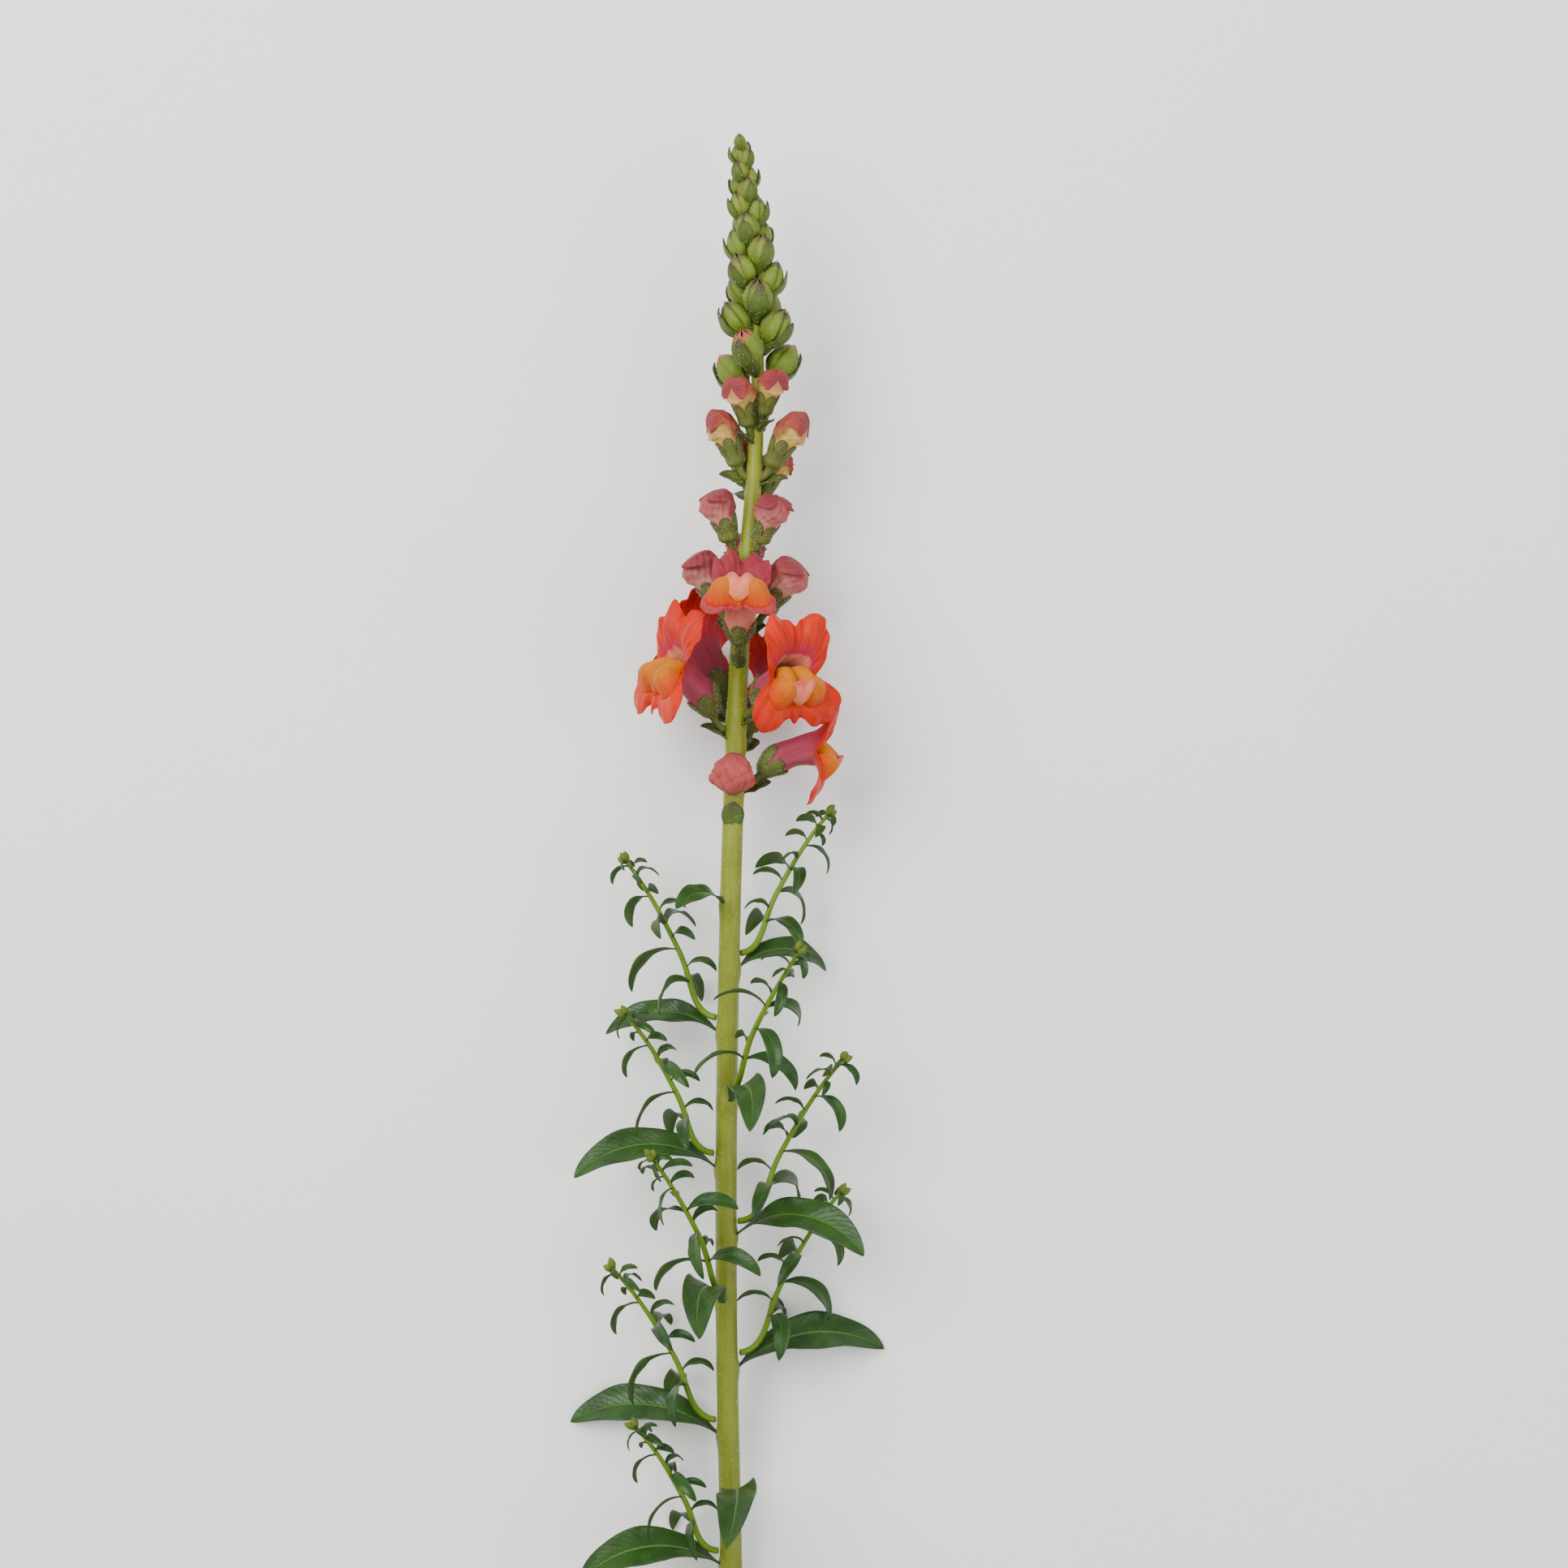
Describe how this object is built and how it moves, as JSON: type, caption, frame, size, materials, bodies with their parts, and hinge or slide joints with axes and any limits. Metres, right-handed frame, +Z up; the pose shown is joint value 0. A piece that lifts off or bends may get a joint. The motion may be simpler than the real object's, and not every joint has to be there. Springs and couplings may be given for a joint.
{
  "type": "snapdragon stem",
  "caption": "Cut snapdragon stem lying on a surface: a tapering head of green buds, pink-tipped buds and two-lipped flowers with a yellow palate over a leafy stem with side shoots.",
  "frame": {"origin": "the middle of the base of the bounding box, on the surface that the stem lies on", "axes": "+Y from the cut end to the tip of the stem, +Z up from the surface to the side that the picture shows, +X to the right in the picture"},
  "size_m": [0.1138, 0.6321, 0.0734],
  "materials": {
    "stem_green": "satin",
    "bud_green": "matte",
    "calyx_green": "matte",
    "petal_red": "satin",
    "petal_pink": "satin",
    "palate_yellow": "satin",
    "leaf_green": "gloss",
    "shoot_green": "satin"
  },
  "bodies": {
    "root": {"stem": "stem_green", "bud_head": "bud_green", "flower_1_calyx": "calyx_green", "flower_1_corolla": "petal_red", "flower_1_palate": "palate_yellow", "flower_2_calyx": "calyx_green", "flower_2_corolla": "petal_red", "flower_2_palate": "palate_yellow", "flower_3_calyx": "calyx_green", "flower_3_corolla": "petal_red", "flower_3_palate": "palate_yellow", "flower_4_calyx": "calyx_green", "flower_4_corolla": "petal_red", "flower_4_palate": "palate_yellow", "flower_5_calyx": "calyx_green", "flower_5_corolla": "petal_red", "flower_5_palate": "palate_yellow", "flower_6_calyx": "calyx_green", "flower_6_corolla": "petal_pink", "flower_6_palate": "palate_yellow", "opening_flower_1_calyx": "calyx_green", "opening_flower_1_petals": "petal_pink", "opening_flower_2_calyx": "calyx_green", "opening_flower_2_petals": "petal_pink", "opening_flower_3_calyx": "calyx_green", "opening_flower_3_petals": "petal_pink", "opening_flower_4_calyx": "calyx_green", "opening_flower_4_petals": "petal_pink", "opening_flower_5_calyx": "calyx_green", "opening_flower_5_petals": "petal_pink", "bud_1_petals": "petal_pink", "bud_2_petals": "petal_pink", "bud_3_petals": "petal_pink", "bud_4_petals": "petal_pink", "bud_5_petals": "petal_pink", "bud_6_petals": "petal_pink", "bud_7_petals": "petal_pink", "withered_flower": "petal_pink", "leaf_1": "leaf_green", "leaf_2": "leaf_green", "leaf_3": "leaf_green", "leaf_4": "leaf_green", "leaf_5": "leaf_green", "leaf_6": "leaf_green", "leaf_7": "leaf_green", "leaf_8": "leaf_green", "leaf_9": "leaf_green", "leaf_10": "leaf_green", "leaf_11": "leaf_green", "leaf_12": "leaf_green", "side_shoot_1": "shoot_green", "side_shoot_2": "shoot_green", "side_shoot_3": "shoot_green", "side_shoot_4": "shoot_green", "side_shoot_5": "shoot_green", "side_shoot_6": "shoot_green", "side_shoot_7": "shoot_green", "side_shoot_8": "shoot_green", "side_shoot_9": "shoot_green"}
  },
  "joints": []
}
